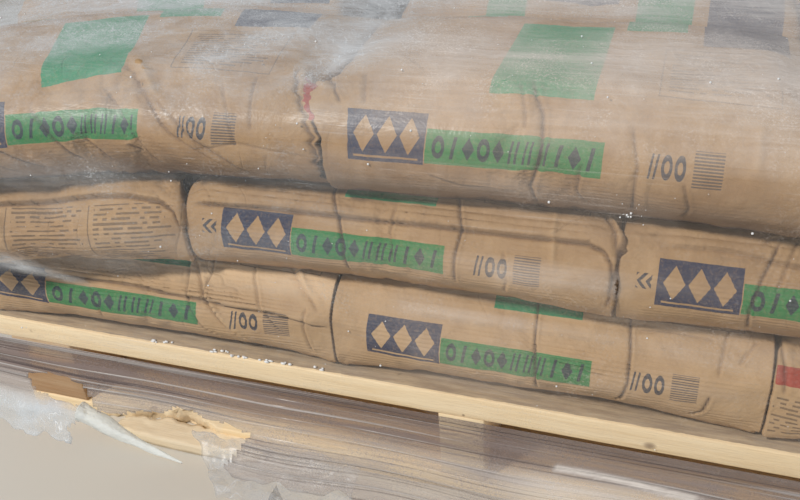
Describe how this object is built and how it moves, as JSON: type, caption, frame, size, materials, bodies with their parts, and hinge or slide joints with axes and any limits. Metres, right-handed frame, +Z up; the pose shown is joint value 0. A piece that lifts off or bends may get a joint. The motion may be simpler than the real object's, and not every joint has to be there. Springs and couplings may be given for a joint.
{
  "type": "pallet of sacks",
  "caption": "Wooden block pallet loaded with layers of filled kraft-paper sacks in brick bond, under a clear film hood with a torn skirt.",
  "frame": {"origin": "on the floor under the middle of the pallet, at the underside of the centre bottom board", "axes": "+Z up, +X along the pallet's long side, -Y towards the side with the torn film skirt"},
  "size_m": [1.329, 1.0098, 0.484],
  "materials": {
    "kraft_paper": "matt kraft paper with printed bands",
    "pine_timber": "rough sawn softwood",
    "clear_film": "clear polythene film, hazy where it is creased"
  },
  "bodies": {
    "root": {"block_centre_left": "pine_timber", "block_centre_middle": "pine_timber", "block_centre_right": "pine_timber", "block_front_left": "pine_timber", "block_front_middle": "pine_timber", "block_front_right": "pine_timber", "block_rear_left": "pine_timber", "block_rear_middle": "pine_timber", "block_rear_right": "pine_timber", "bottom_board_centre": "pine_timber", "bottom_board_front": "pine_timber", "bottom_board_rear": "pine_timber", "cross_board_left": "pine_timber", "cross_board_middle": "pine_timber", "cross_board_right": "pine_timber", "deck_board_1": "pine_timber", "deck_board_2": "pine_timber", "deck_board_3": "pine_timber", "deck_board_4": "pine_timber", "deck_board_5": "pine_timber", "deck_board_6": "pine_timber", "deck_board_7": "pine_timber", "film_hood": "clear_film", "film_skirt": "clear_film", "sack_layer1_header_1": "kraft_paper", "sack_layer1_header_2": "kraft_paper", "sack_layer1_row1_1": "kraft_paper", "sack_layer1_row1_2": "kraft_paper", "sack_layer1_row2_1": "kraft_paper", "sack_layer1_row2_2": "kraft_paper", "sack_layer1_row3_1": "kraft_paper", "sack_layer1_row3_2": "kraft_paper", "sack_layer2_header_1": "kraft_paper", "sack_layer2_header_2": "kraft_paper", "sack_layer2_row1_1": "kraft_paper", "sack_layer2_row1_2": "kraft_paper", "sack_layer2_row2_1": "kraft_paper", "sack_layer2_row2_2": "kraft_paper", "sack_layer2_row3_1": "kraft_paper", "sack_layer2_row3_2": "kraft_paper", "sack_layer3_header_1": "kraft_paper", "sack_layer3_header_2": "kraft_paper", "sack_layer3_row1_1": "kraft_paper", "sack_layer3_row1_2": "kraft_paper", "sack_layer3_row2_1": "kraft_paper", "sack_layer3_row2_2": "kraft_paper", "sack_layer3_row3_1": "kraft_paper", "sack_layer3_row3_2": "kraft_paper"}
  },
  "joints": []
}
